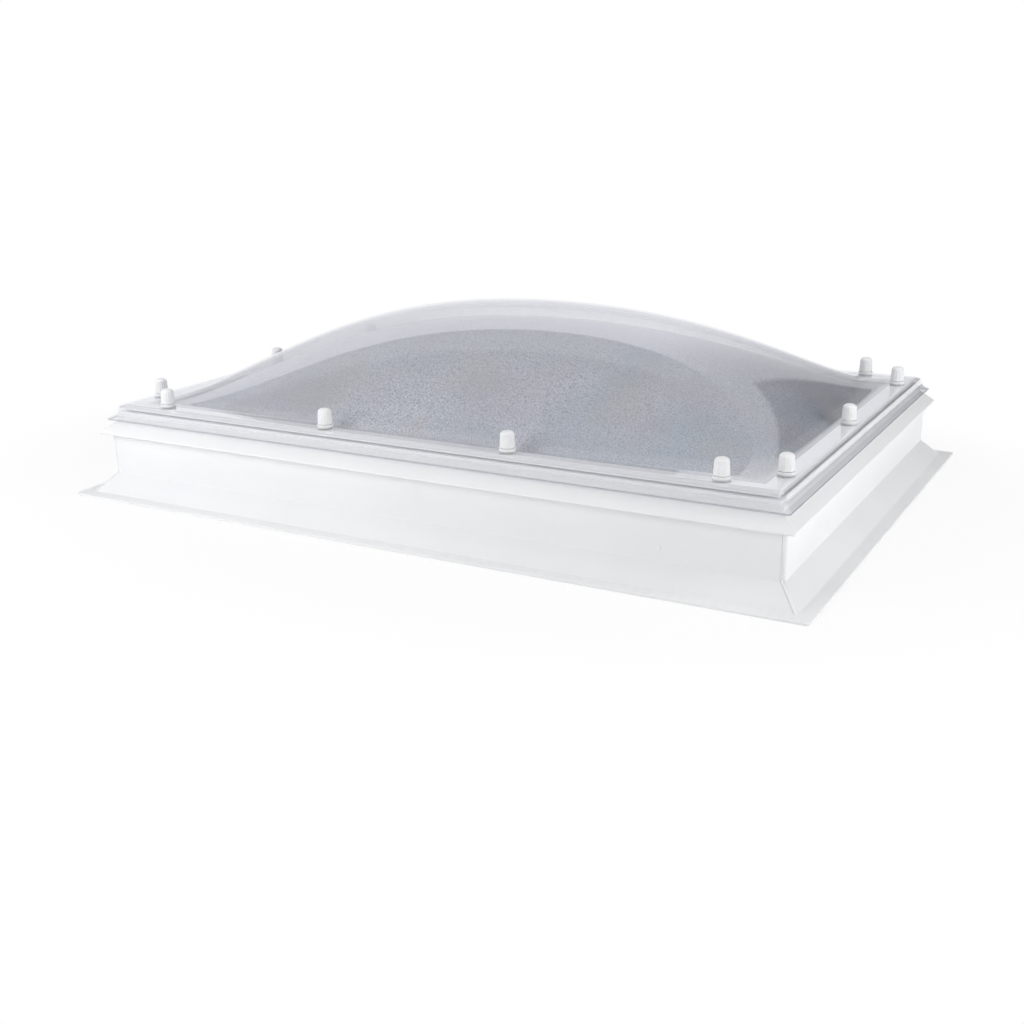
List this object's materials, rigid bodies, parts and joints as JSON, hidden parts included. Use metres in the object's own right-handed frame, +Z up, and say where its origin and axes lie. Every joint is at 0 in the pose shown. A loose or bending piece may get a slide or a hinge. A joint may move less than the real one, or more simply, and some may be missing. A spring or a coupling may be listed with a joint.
{
  "type": "roof skylight",
  "caption": "Fixed rectangular double-skin rooflight: clear pillow-shaped sheets held by capped screws on a flared, hollow white plastic kerb for a flat roof.",
  "frame": {"origin": "middle of the kerb's underside, on the roof deck", "axes": "+X along the long side, +Y from the front to the back, +Z up"},
  "size_m": [1.428, 1.028, 0.338],
  "materials": {
    "kerb_plastic": "white, smooth, satin gloss",
    "seal_foam": "white closed-cell foam",
    "spacer_foam": "white closed-cell foam",
    "textured_sheet": "translucent grey, fine stipple",
    "clear_sheet": "clear, polished",
    "screw_steel": "plain stainless",
    "sleeve_plastic": "natural nylon",
    "washer_rubber": "pale grey rubber",
    "cap_plastic": "white, moulded, satin gloss"
  },
  "bodies": {
    "root": {"cap_bases": "cap_plastic", "caps": "cap_plastic", "inner_dome": "textured_sheet", "kerb_back": "kerb_plastic", "kerb_front": "kerb_plastic", "kerb_left": "kerb_plastic", "kerb_right": "kerb_plastic", "kerb_seal_back": "seal_foam", "kerb_seal_front": "seal_foam", "kerb_seal_left": "seal_foam", "kerb_seal_right": "seal_foam", "outer_dome": "clear_sheet", "screws": "screw_steel", "sealing_washers": "washer_rubber", "sleeves": "sleeve_plastic", "spacer_back": "spacer_foam", "spacer_front": "spacer_foam", "spacer_left": "spacer_foam", "spacer_right": "spacer_foam", "wall_plug": "cap_plastic"}
  },
  "joints": []
}
